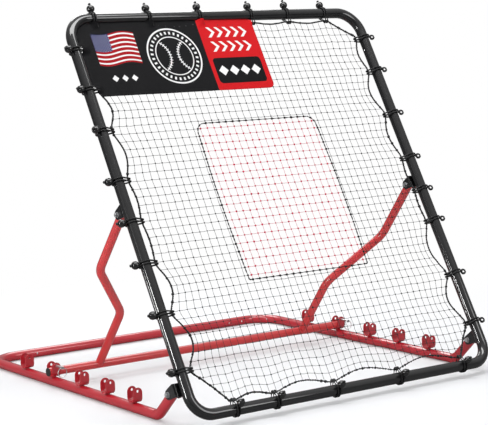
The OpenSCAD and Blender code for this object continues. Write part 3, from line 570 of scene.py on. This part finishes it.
for (i, j), a in grid.items():
    for step in ((1, 0), (0, 1)):
        other = (i + step[0], j + step[1])
        if other not in grid:
            continue
        b = grid[other]
        a_in, b_in = inside(a, edge_route), inside(b, edge_route)
        if not a_in and not b_in:
            continue
        start, end, start_key, end_key = a, b, (i, j), other
        if not a_in:
            start, start_key = crossing(b, a, edge_route), (i, j, step, "rope")
        if not b_in:
            end, end_key = crossing(a, b, edge_route), (i, j, step, "rope")
        a_red, b_red = inside(start, target_ring), inside(end, target_ring)
        if a_red == b_red:
            net_strand(a_red, start_key, start, end_key, end)
        else:
            cut = crossing(start, end, target_ring) if a_red else crossing(end, start, target_ring)
            cut_key = (i, j, step, "cord")
            net_strand(a_red, start_key, start, cut_key, cut)
            net_strand(b_red, cut_key, cut, end_key, end)

# Knotted netting: twine along every edge, a knot where strands meet, a hitch at each end.
netting, netting_in, netting_out = shape_tree("netting", [
    ("Twine radius", "NodeSocketFloat", 0.0007), ("Knot radius", "NodeSocketFloat", 0.0019),
    ("Hitch radius", "NodeSocketFloat", 0.0036), ("Seed", "NodeSocketInt", 5),
    ("Finish", "NodeSocketMaterial", None)])
netting_curves = node(netting, "GeometryNodeMeshToCurve", {0: netting_in.outputs["Geometry"]})
netting_round = node(netting, "GeometryNodeCurvePrimitiveCircle", {
    "Resolution": 5, "Radius": netting_in.outputs["Twine radius"]})
netting_twine = node(netting, "GeometryNodeCurveToMesh", {
    "Curve": netting_curves, "Profile Curve": netting_round.outputs[0]})
netting_edges = node(netting, "GeometryNodeInputMeshVertexNeighbors")
netting_cross = node(netting, "FunctionNodeCompare", {2: netting_edges.outputs["Vertex Count"], 3: 2},
                     data_type="INT", operation="GREATER_THAN")
netting_ball = node(netting, "GeometryNodeMeshIcoSphere", {
    "Radius": netting_in.outputs["Knot radius"], "Subdivisions": 1})
netting_turn = node(netting, "FunctionNodeRandomValue", {
    0: (0.0, 0.0, 0.0), 1: (6.28, 6.28, 6.28), "Seed": netting_in.outputs["Seed"]},
    data_type="FLOAT_VECTOR")
netting_size = node(netting, "FunctionNodeRandomValue", {
    2: 0.85, 3: 1.2, "Seed": netting_in.outputs["Seed"]}, data_type="FLOAT")
netting_knots = node(netting, "GeometryNodeInstanceOnPoints", {
    "Points": netting_in.outputs["Geometry"], "Selection": netting_cross,
    "Instance": netting_ball.outputs[0], "Rotation": netting_turn, "Scale": netting_size.outputs[1]})
netting_tied = node(netting, "GeometryNodeInputNamedAttribute", {"Name": "hitch"}, data_type="FLOAT")
netting_end = node(netting, "FunctionNodeCompare", {0: netting_tied, 1: 0.1}, data_type="FLOAT",
                   operation="GREATER_THAN")
netting_fit = maths(netting, "MULTIPLY", netting_tied, netting_size.outputs[1])
netting_hitch = node(netting, "GeometryNodeMeshIcoSphere", {
    "Radius": netting_in.outputs["Hitch radius"], "Subdivisions": 2})
netting_hitches = node(netting, "GeometryNodeInstanceOnPoints", {
    "Points": netting_in.outputs["Geometry"], "Selection": netting_end,
    "Instance": netting_hitch.outputs[0], "Rotation": netting_turn, "Scale": netting_fit})
netting_join = node(netting, "GeometryNodeJoinGeometry")
for netting_part in (netting_hitches, netting_twine, netting_knots):
    netting.links.new(netting_part.outputs[0], netting_join.inputs[0])
end_tree(netting, netting_in, netting_out, netting_join)

twine_black = twine("twine_black", (0.005, 0.005, 0.006), (0.020, 0.020, 0.022), sheen=0.1)
twine_red = twine("twine_red", (0.46, 0.008, 0.040), (0.60, 0.020, 0.070), sheen=0.0)
for name, finish, stands_for, slot, twine_size, knot_size, hitch_size in (
        ("net_twine", twine_black, "net", "black_cord", 0.00065, 0.0024, 0.0042),
        ("target_twine", twine_red, "target_net", "red_cord", 0.00055, 0.0031, 0.0030)):
    points, edges, hitches, _ = nets[name]
    piece = mesh_piece(name, points, edges)
    piece.data.attributes.new("hitch", "FLOAT", "POINT").data.foreach_set("value", hitches)
    settle(piece, netting, twine_radius=twine_size, knot_radius=knot_size, hitch_radius=hitch_size,
           finish=finish)
    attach(piece, "front_frame")
    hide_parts(stands_for)

target_edge = closed_wires("target_edge", [[on_frame(u, w) for u, w in target_ring]])
settle(target_edge, rope_tree, radius=0.0025, strands=3, groove=0.72, turns_per_metre=60.0,
       finish=rope_black)
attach(target_edge, "front_frame")
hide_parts("target_cord")

# ---------------------------------------------------------------------------
# Bungees. Each is one elastic cord, doubled: from a knot through its ball, round
# the tube, round the edge rope and back, where its bight hooks over the ball's
# neck. On the right the ball is tucked behind, and the bight stands out as an eye.
tube_r, rope_r, cord_r, ball_r, cord_gap = 17.5, 3.1, 2.7, 13.0, 0.3
wrap_r, loop_r = tube_r + cord_gap + cord_r, rope_r + cord_gap + cord_r
ball_at = 35.1
end_distance, side_distance = 29.0, 37.0
side_by_side = 4.4
knot_points, knot_turn, knot_r, knot_rise = 14, 51.4, 1.9, 0.22
eye_at, eye_angle, eye_r, eye_inner_r, eye_inner_behind = wrap_r + 9.6, -25, 8.2, 5.9, 1.6


def round_tube(distance, radius, angle, along):
    """A point beside a tube this far out from the rope, as [out, behind, along the edge]."""
    return distance + radius * cos(radians(angle)), radius * sin(radians(angle)), along


def arc(centre, radius, start, stop, along=side_by_side):
    """Points round a tube or a rope, from one angle to another."""
    steps = max(2, ceil(abs(stop - start) / 15))
    return [round_tube(centre, radius, start + (stop - start) * k / steps, along) for k in range(steps + 1)]


def bungee_route(distance, ball_angle, ball_slide, eye):
    """A bungee's closed route, for a tube this far out from the rope."""
    slope = degrees(asin((wrap_r - loop_r) / distance))
    half = [round_tube(distance, radius, ball_angle, along) for radius, along in (
        (ball_at + ball_r + 0.8, 0.9), (ball_at, 0.9), (wrap_r + 2.4, 1.0))]
    if eye:
        half += arc(distance, wrap_r, ball_angle + 14, 90 + slope, 4.2)
        half += arc(0, loop_r, 90 + slope, 270 - slope)
        half += arc(distance, wrap_r, -90 - slope, -46)
        half += [round_tube(distance, wrap_r + 0.4, -34, 3.6)]
        half += [round_tube(distance, eye_at - eye_r * cos(radians(b)), eye_angle, eye_r * sin(radians(b)))
                 for b in (38, 65, 95, 125, 155)]
    else:
        half += arc(distance, wrap_r, ball_angle - 20, -90 - slope)
        half += arc(0, loop_r, -90 - slope, slope - 270)
        half += arc(distance, wrap_r, 90 + slope, ball_angle + 18)
        half += [round_tube(distance, wrap_r + 2.2, ball_angle + 7, 4.8),
                 round_tube(distance, wrap_r + 3.9, ball_angle - 4, 4.0),
                 round_tube(distance, wrap_r + 4.3, ball_angle - 11, 1.9)]
    knot = []
    for k in range(knot_points):
        turn = radians(knot_turn * k)
        side = knot_r * cos(turn)
        x, y, _ = round_tube(distance, ball_at + ball_r + 1.6 + knot_rise * k, ball_angle, 0)
        knot.append((x - side * sin(radians(ball_angle)), y + side * cos(radians(ball_angle)),
                     knot_r * sin(turn)))
    route = knot + half + [(x, y, -along) for x, y, along in reversed(half)]
    # What has left the tube slides along the edge with the ball.
    for k, (x, y, along) in enumerate(route):
        past_cord = hypot(x - distance, y) - wrap_r - 1.0
        if past_cord > 0:
            route[k] = (x, y, along + ball_slide * min(1.0, past_cord / 2))
    return route


def eye_inner_route(distance, ball_slide):
    """The second, smaller turn of cord inside an eye."""
    route = []
    for b in range(0, 360, 24):
        x, y, along = round_tube(distance, eye_at - eye_inner_r * cos(radians(b)), eye_angle,
                                 eye_inner_r * sin(radians(b)))
        route.append((x, y - eye_inner_behind, along + ball_slide))
    return route


# For each edge: the tube's distance from the rope, how far the balls slide along it,
# the ties with their way out, and the angle at which each ball sits round the tube.
frame_edges = {
    "top": (end_distance, -5.0, [((u, tie_top), (0, 1)) for u in top_ties], [-5, 0, -5, 0, -5, 5]),
    "bottom": (end_distance, 3.0, [((u, tie_bottom), (0, -1)) for u in bottom_ties],
               [-105, -105, -100, -96, -100]),
    "left": (side_distance, 0.0, [((-tie_u, w), (-1, 0)) for w in left_ties],
             [-8, -8, 0, 0, -3, -30, -20, -25]),
    "right": (side_distance, -4.5, [((tie_u, w), (1, 0)) for w in right_ties], [42] * 8),
}
elastic_black = twine("elastic_black", (0.003, 0.003, 0.0035), (0.011, 0.011, 0.012), sheen=0.05,
                      rough=0.6)
ball_black = coated("ball_black", (0.003, 0.003, 0.003), (0.008, 0.008, 0.009), 0.14, peel=0.000008,
                    coat=0.8)

# A ball: a sphere with a rounded hole through it and a fine seam round its middle.
hole_r, hole_half, seam_depth, ball_turns = 3.4, 11.0, 0.16, 28
ball_angles = (-71, -64, -54, -44, -34, -24, -15, -7, -2, 0, 2, 7, 15, 24, 34, 44, 54, 64, 71)
ball_profile = [(hole_r, -hole_half)] + [
    (ball_r * cos(radians(a)) - (seam_depth if a == 0 else 0), ball_r * sin(radians(a)))
    for a in ball_angles] + [(hole_r, hole_half)]
ball_steps = len(ball_profile)
ball_points = [(r / 1000 * cos(2 * pi * k / ball_turns), r / 1000 * sin(2 * pi * k / ball_turns), z / 1000)
               for k in range(ball_turns) for r, z in ball_profile]
ball_faces = [(k * ball_steps + j, (k + 1) % ball_turns * ball_steps + j,
               (k + 1) % ball_turns * ball_steps + (j + 1) % ball_steps,
               k * ball_steps + (j + 1) % ball_steps)
              for k in range(ball_turns) for j in range(ball_steps)]

set_tree, set_in, set_out = shape_tree("set_at_points", [
    ("Places", "NodeSocketObject", None), ("Finish", "NodeSocketMaterial", None)])
set_places = node(set_tree, "GeometryNodeObjectInfo", {"Object": set_in.outputs["Places"]})
set_way = node(set_tree, "GeometryNodeInputNamedAttribute", {"Name": "outward"},
               data_type="FLOAT_VECTOR")
set_turn = node(set_tree, "FunctionNodeAlignRotationToVector", {"Vector": set_way.outputs[0]}, axis="Z")
set_copies = node(set_tree, "GeometryNodeInstanceOnPoints", {
    "Points": set_places.outputs["Geometry"], "Instance": set_in.outputs["Geometry"],
    "Rotation": set_turn})
end_tree(set_tree, set_in, set_out, set_copies)


def by_tie(tie, x, y, along):
    """A bungee's point, out from the rope, behind it and along the edge, by one tie of the frame."""
    (u, w), (out_u, out_w) = tie
    return on_frame(u + out_u * x - out_w * along, w + out_w * x + out_u * along, y)


for edge, (distance, ball_slide, ties, angles) in frame_edges.items():
    routes, centres, outwards = [], [], []
    for tie, angle in zip(ties, angles):
        routes.append([by_tie(tie, *p) for p in bungee_route(distance, angle, ball_slide, edge == "right")])
        if edge == "right":
            routes.append([by_tie(tie, *p) for p in eye_inner_route(distance, ball_slide)])
        centres.append(by_tie(tie, *round_tube(distance, ball_at, angle, ball_slide)))
        outwards.append((centres[-1] - by_tie(tie, distance, 0, ball_slide)).normalized())
    cords = closed_wires(f"bungee_cord_{edge}", routes)
    settle(cords, rope_tree, radius=0.0028, strands=8, groove=0.94, turns_per_metre=55.0,
           finish=elastic_black)
    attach(cords, "front_frame")
    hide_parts(f"bungee_cords_{edge}")

    spots = mesh_piece("places", [tuple(p) for p in centres])
    outward = spots.data.attributes.new("outward", "FLOAT_VECTOR", "POINT")
    outward.data.foreach_set("vector", [x for way in outwards for x in way])
    balls = mesh_piece(f"bungee_ball_{edge}", ball_points, faces=ball_faces)
    settle(balls, set_tree, places=spots, finish=ball_black)
    bpy.data.objects.remove(spots)
    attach(balls, "front_frame")
    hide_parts(f"bungee_balls_{edge}")

# ---------------------------------------------------------------------------
# Banner. Coated woven cloth on the net's upper left, held by the bungees, whose
# strands run under its edge. Printed with a striped flag, a ring with a ball's
# seams, and a red panel with chevrons over a black field of diamonds.
banner_left, banner_right = -574.8, 124.0
banner_low, banner_high, banner_waist = 1056.0, 1319.8, 1190
banner_round, banner_small, banner_cut = 64.8, 20.0, 24.0
banner_rows, banner_columns = 56, 142
frame_left, frame_high, bend_r, tube_inside = -592, 1337, 82, 17.2
cloth_lie, tube_lift, tube_fade = 3.6, 0.6, 5
cord_lift, cord_rise, cord_fade, cord_spread, cord_slack = 5.2, 14.4, 8, 12, 1.12


def banner_span(w):
    """The banner's left and right ends at a height."""
    left, right = banner_left, banner_right
    if w > banner_high - banner_round:
        left += banner_round - sqrt(max(0, banner_round ** 2 - (w - banner_high + banner_round) ** 2))
    if w < banner_low + banner_cut:
        left += banner_low + banner_cut - w
    for centre in (banner_low + banner_small, banner_high - banner_small):
        if abs(w - centre) <= banner_small and (w - centre) * (centre - banner_waist) > 0:
            right = banner_right - banner_small + sqrt(max(0, banner_small ** 2 - (w - centre) ** 2))
    return left, right


def banner_front(u, w):
    """How far the cloth lies in front of the frame's centre plane: over the tube, the cords, and rippled."""
    corner_u, corner_w = frame_left + bend_r, frame_high - bend_r
    if u < corner_u and w > corner_w:
        inside_tube = bend_r - hypot(u - corner_u, w - corner_w)
    else:
        inside_tube = min(u - frame_left, frame_high - w)
    lift = tube_lift * fading((max(inside_tube, tube_inside) - tube_inside) / tube_fade)
    ties = [(u - tie, w - tie_top, end_distance) for tie in top_ties]
    ties += [(w - tie, -tie_u - u, side_distance) for tie in left_ties[-2:]]
    for beside, out, distance in ties:
        over_cord = cord_lift + cord_rise * out / distance if out > 0 else (
            cord_lift * fading((out / cord_fade) ** 2))
        lift += over_cord * cord_slack * fading((beside / cord_spread) ** 4)
    ripple = 0.5 + 0.4 * sin(u / 47 + w / 61) + 0.3 * sin(u / 21 - w / 33 + 1.3)
    return cloth_lie + lift + ripple


banner_points, banner_flat = [], []
for j in range(banner_rows + 1):
    crowded = 0.5 - 0.5 * cos(pi * j / banner_rows)
    w = banner_low + (banner_high - banner_low) * (0.55 * crowded + 0.45 * j / banner_rows)
    row_left, row_right = banner_span(w)
    for i in range(banner_columns + 1):
        u = row_left + (row_right - row_left) * i / banner_columns
        banner_flat.append((u / 1000, w / 1000))
        banner_points.append(tuple(on_frame(u, w, -banner_front(u, w))))
stride = banner_columns + 1
banner_faces = [(j * stride + i, j * stride + i + 1, (j + 1) * stride + i + 1, (j + 1) * stride + i)
                for j in range(banner_rows) for i in range(banner_columns)]
banner = mesh_piece("banner_cloth", banner_points, faces=banner_faces)
flat_map = banner.data.uv_layers.new(name="flat")
flat_map.data.foreach_set("uv", [x for face in banner_faces for n in face for x in banner_flat[n]])
for face in banner.data.polygons:
    face.use_smooth = True
thickness = banner.modifiers.new("thickness", "SOLIDIFY")
thickness.thickness = 0.0007
thickness.offset = -1.0
thickness.material_offset = 1

# The print reads the flat map, in mm across and up the frame.
banner_print, art = new_material("banner_print")
art_map = node(art, "ShaderNodeUVMap", uv_map="flat")
art_place = node(art, "ShaderNodeSeparateXYZ", {0: art_map})


def calc(operation, *values, clamp=False):
    """A Math node's result in the banner's print."""
    return maths(art, operation, *values, clamp=clamp)


def within(distance, limit, soft=0.5):
    """1 where a distance is under a limit, with a soft edge."""
    return calc("MULTIPLY_ADD", distance, -1 / soft, limit / soft + 0.5, clamp=True)


def both(*masks):
    """1 where every mask is."""
    result = masks[0]
    for mask in masks[1:]:
        result = calc("MULTIPLY", result, mask)
    return result


def either(*masks):
    """1 where any mask is."""
    result = masks[0]
    for mask in masks[1:]:
        result = calc("MAXIMUM", result, mask)
    return result


across = calc("MULTIPLY", art_place.outputs["X"], 1000.0)
upward = calc("MULTIPLY", art_place.outputs["Y"], 1000.0)


def off(coordinate, value):
    """How far a coordinate is past a value."""
    return calc("SUBTRACT", coordinate, value)


def apart(coordinate, value):
    """How far a coordinate is from a value, on either side."""
    return calc("ABSOLUTE", off(coordinate, value))


def far(x, y):
    """The length of (x, y)."""
    return calc("SQRT", calc("ADD", calc("MULTIPLY", x, x), calc("MULTIPLY", y, y)))


def box_mask(x, y, u1, u2, w1, w2, r):
    """A rounded rectangle from u1 to u2 across and from w1 to w2 up."""
    dx = calc("MAXIMUM", off(apart(x, (u1 + u2) / 2), (u2 - u1) / 2 - r), 0.0)
    dy = calc("MAXIMUM", off(apart(y, (w1 + w2) / 2), (w2 - w1) / 2 - r), 0.0)
    return within(far(dx, dy), r)


def repeat(coordinate, start, pitch):
    """Distance past the middle of the nearest repeat."""
    return off(calc("FLOORED_MODULO", off(coordinate, start), pitch), pitch / 2)


def diamonds(start, pitch, middle, size):
    """A row of diamonds, one in each pitch from a start, at a height."""
    return within(calc("ADD", calc("ABSOLUTE", repeat(across, start, pitch)), apart(upward, middle)), size)


# The flag waves: its height swings across its width.
flag_middle, flag_wave, flag_swing = -447.5, 170, 6.5
stripe_pitch, stripe_half, star_pitch, star_r = 112 / 7, 2.7, 9.6, 1.9
swing = calc("MULTIPLY", calc("SINE", calc("MULTIPLY", off(across, flag_middle), 2 * pi / flag_wave)),
             flag_swing)
flag_y = calc("SUBTRACT", upward, swing)
flag_box = box_mask(across, flag_y, -522, -363, 1168, 1281, 1.5)
canton_box = box_mask(across, flag_y, -522, -459, 1219, 1282, 1.0)
stripes = within(calc("ABSOLUTE", repeat(flag_y, 1169.0, stripe_pitch)), stripe_half)
stars_x, stars_y = off(across, -519.0), off(flag_y, 1221.0)
stars = within(far(repeat(calc("ADD", stars_x, stars_y), 0.0, star_pitch),
                   repeat(calc("SUBTRACT", stars_x, stars_y), 0.0, star_pitch)), star_r)

# A ring of two lines and dots, round a ball's two seams and their stitches.
ring_dot_count, stitch_count = 32, 38
seam_aside, seam_r = 74.0, 58.0
ring_x, ring_y = off(across, -232.0), off(upward, 1190.0)
ring_far = far(ring_x, ring_y)
outer_ring, inner_ring = within(apart(ring_far, 100.0), 2.8), within(apart(ring_far, 70.0), 1.8)
ring_turn = calc("MULTIPLY", calc("ARCTAN2", ring_y, ring_x), ring_dot_count / (2 * pi))
ring_dots = both(within(apart(calc("FRACT", ring_turn), 0.5), 0.2, soft=0.06),
                 within(apart(ring_far, 85.0), 5.0))
seam_masks = []
for side in (-1.0, 1.0):
    seam_x = off(ring_x, seam_aside * side)
    seam_far = far(seam_x, ring_y)
    seam_turn = calc("MULTIPLY", calc("ARCTAN2", ring_y, calc("MULTIPLY", seam_x, -side)),
                     stitch_count / (2 * pi))
    seam_masks += [within(apart(seam_far, seam_r), 1.7),
                   both(within(apart(calc("FRACT", seam_turn), 0.5), 0.13, soft=0.05),
                        within(apart(seam_far, seam_r), 6.0))]
seams = both(either(*seam_masks), within(ring_far, 66.0))

# Three diamonds under the flag, chevrons on the red panel, diamonds on its black field.
small_marks = both(diamonds(-500.0, 36.0, 1117.0, 12.0), box_mask(across, upward, -500, -392, 1095, 1140, 1))
red_panel = within(calc("MULTIPLY", off(across, -105.0), -1.0), 0.0)
field = box_mask(across, upward, -90, 104, 1081, 1176, 14)
field_marks = both(diamonds(-81.0, 44.0, 1128.5, 19.0), box_mask(across, upward, -81, 95, 1100, 1157, 1))
rows_of_two = calc("ABSOLUTE", repeat(upward, 1192.0, 54.0))
slanted = calc("ADD", across, rows_of_two)
chevrons = both(
    within(calc("ABSOLUTE", repeat(slanted, -65.0, 33.0)), 6.0), within(rows_of_two, 19.0),
    within(apart(slanted, 17.5), 74.0), box_mask(across, upward, -100, 120, 1192, 1300, 1))

ink_white, ink_red, ink_blue = (0.80, 0.80, 0.80), (0.56, 0.008, 0.012), (0.014, 0.018, 0.12)
ink_dark_red, ink_black = (0.34, 0.005, 0.010), (0.005, 0.005, 0.006)
shade = node(art, "ShaderNodeTexNoise", {"Vector": art_map, "Scale": 9.0, "Detail": 4.0})
print_colour = blend(art, shade, (0.004, 0.004, 0.005), (0.008, 0.008, 0.009))
for mask, colour in ((red_panel, ink_red), (field, ink_black), (flag_box, ink_dark_red),
                     (both(flag_box, stripes), ink_white), (canton_box, ink_blue),
                     (both(canton_box, stars), ink_white),
                     (either(outer_ring, inner_ring, ring_dots, seams, small_marks, field_marks), ink_white),
                     (chevrons, ink_white)):
    print_colour = blend(art, mask, print_colour, colour)
weave_pitch = 0.9
weave = calc("MULTIPLY", *[calc("SINE", calc("MULTIPLY", place, 2 * pi / weave_pitch))
                           for place in (across, upward)])
cloth_wave = node(art, "ShaderNodeTexNoise", {"Vector": art_map, "Scale": 22.0, "Detail": 3.0})
weave_bump = node(art, "ShaderNodeBump", {"Height": weave, "Distance": 0.00006, "Strength": 0.6})
cloth_bump = node(art, "ShaderNodeBump", {
    "Height": cloth_wave, "Distance": 0.003, "Strength": 0.35, "Normal": weave_bump})
print_gloss = node(art, "ShaderNodeMapRange", {"Value": shade, "To Min": 0.48, "To Max": 0.62})
surfaced(art, {"Base Color": print_colour, "Roughness": print_gloss, "Normal": cloth_bump,
               "Specular IOR Level": 0.10})
banner.data.materials.append(banner_print)

# The back of the cloth is bare and dull black.
banner_back, back_tree = new_material("banner_back")
back_map = node(back_tree, "ShaderNodeUVMap", uv_map="flat")
back_shade = node(back_tree, "ShaderNodeTexNoise", {"Vector": back_map, "Scale": 14.0, "Detail": 4.0})
back_bump = node(back_tree, "ShaderNodeBump", {"Height": back_shade, "Distance": 0.002, "Strength": 0.4})
surfaced(back_tree, {
    "Base Color": blend(back_tree, back_shade, (0.008, 0.008, 0.009), (0.016, 0.016, 0.017)),
    "Roughness": 0.7, "Normal": back_bump, "Specular IOR Level": 0.2})
banner.data.materials.append(banner_back)
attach(banner, "front_frame")
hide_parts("banner")
